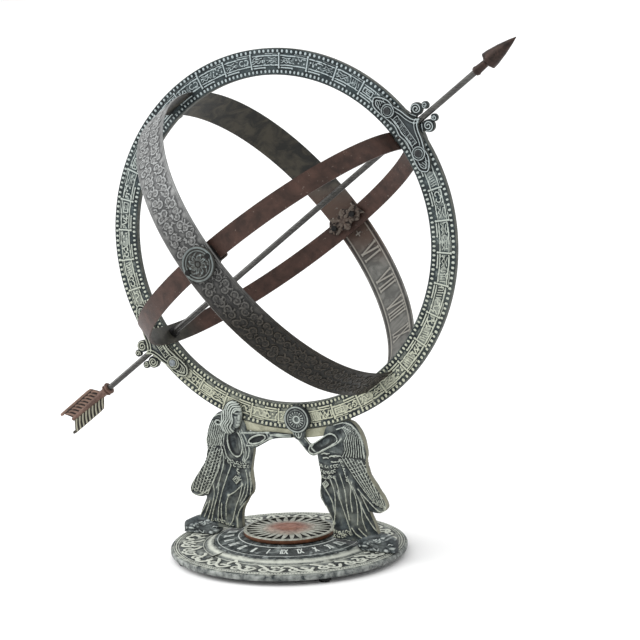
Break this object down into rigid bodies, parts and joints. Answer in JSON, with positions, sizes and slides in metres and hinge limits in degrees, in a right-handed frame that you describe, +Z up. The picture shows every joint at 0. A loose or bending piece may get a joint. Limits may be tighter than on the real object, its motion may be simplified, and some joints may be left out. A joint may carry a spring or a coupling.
{
  "type": "armillary sphere",
  "caption": "Armillary sphere: relief meridian ring, equatorial and colure bands on an arrow axis, carried by winged figures on a round dial base.",
  "frame": {"origin": "floor point under the sphere's centre, at the centre of the round base, on the plane of the feet", "axes": "+Z up, +X in the meridian ring's plane towards the arrowhead, +Y across the meridian ring, away from the front"},
  "size_m": [0.6191, 0.4243, 0.6126],
  "materials": {
    "dark_bronze": "cast relief, dark patina, dry-brushed highlights",
    "slate_verdigris": "cast relief, slate-green patina, pale worn highlights",
    "rust_copper": "dull brown with rust specks",
    "teal_verdigris": "teal verdigris over dark bronze",
    "grey_steel": "smooth drawn rod, dulled",
    "arrow_bronze": "dark bronze",
    "dial_metal": "dark dial with pale raised numerals",
    "disc_copper": "copper with raised rays",
    "black_steel": "blackened"
  },
  "bodies": {
    "stand": {"base_plate": "dark_bronze", "base_feet": "black_steel", "hour_dial": "dial_metal", "dial_screws": "black_steel", "left_figure": "dark_bronze", "right_figure": "dark_bronze", "ring_saddle": "dark_bronze", "saddle_screws": "black_steel", "figure_bolts": "black_steel", "clamp_rosette": "teal_verdigris", "clamp_back_plate": "teal_verdigris", "clamp_screw": "black_steel"},
    "sphere": {"meridian_ring": "slate_verdigris", "equatorial_band": "slate_verdigris", "colure_band": "rust_copper", "front_rosette": "teal_verdigris", "back_rosette": "teal_verdigris", "crossing_spacers": "teal_verdigris", "front_leaf_bracket": "teal_verdigris", "back_leaf_bracket": "teal_verdigris", "rosette_screws": "black_steel", "rosette_nuts": "black_steel", "upper_band_clip": "teal_verdigris", "lower_band_clip": "teal_verdigris", "clip_screws": "black_steel", "upper_pole_cheek_front": "slate_verdigris", "upper_pole_cheek_back": "slate_verdigris", "lower_pole_cheek_front": "slate_verdigris", "lower_pole_cheek_back": "slate_verdigris", "upper_pole_scroll": "slate_verdigris", "lower_pole_scroll": "slate_verdigris", "pole_bolts": "black_steel", "pole_nuts": "black_steel"},
    "arrow": {"gnomon_rod": "grey_steel", "arrow_head": "arrow_bronze", "arrow_tail": "arrow_bronze", "rod_collars": "arrow_bronze"},
    "sun_dial": {"sun_disc": "disc_copper", "sun_disc_pin": "black_steel", "sun_disc_nut": "black_steel"}
  },
  "joints": [
    {"name": "meridian_tilt", "type": "hinge", "parent": "stand", "child": "sphere", "pos_m": [0, 0, 0.379], "axis": [0, 1, 0], "range_deg": [-12, 9]},
    {"name": "arrow_turn", "type": "hinge", "parent": "sphere", "child": "arrow", "pos_m": [0, 0, 0.379], "axis": [0.788, 0, 0.6157], "continuous": true},
    {"name": "sun_disc_turn", "type": "hinge", "parent": "stand", "child": "sun_dial", "pos_m": [0, 0, 0.0246], "axis": [0, 0, 1], "continuous": true}
  ]
}
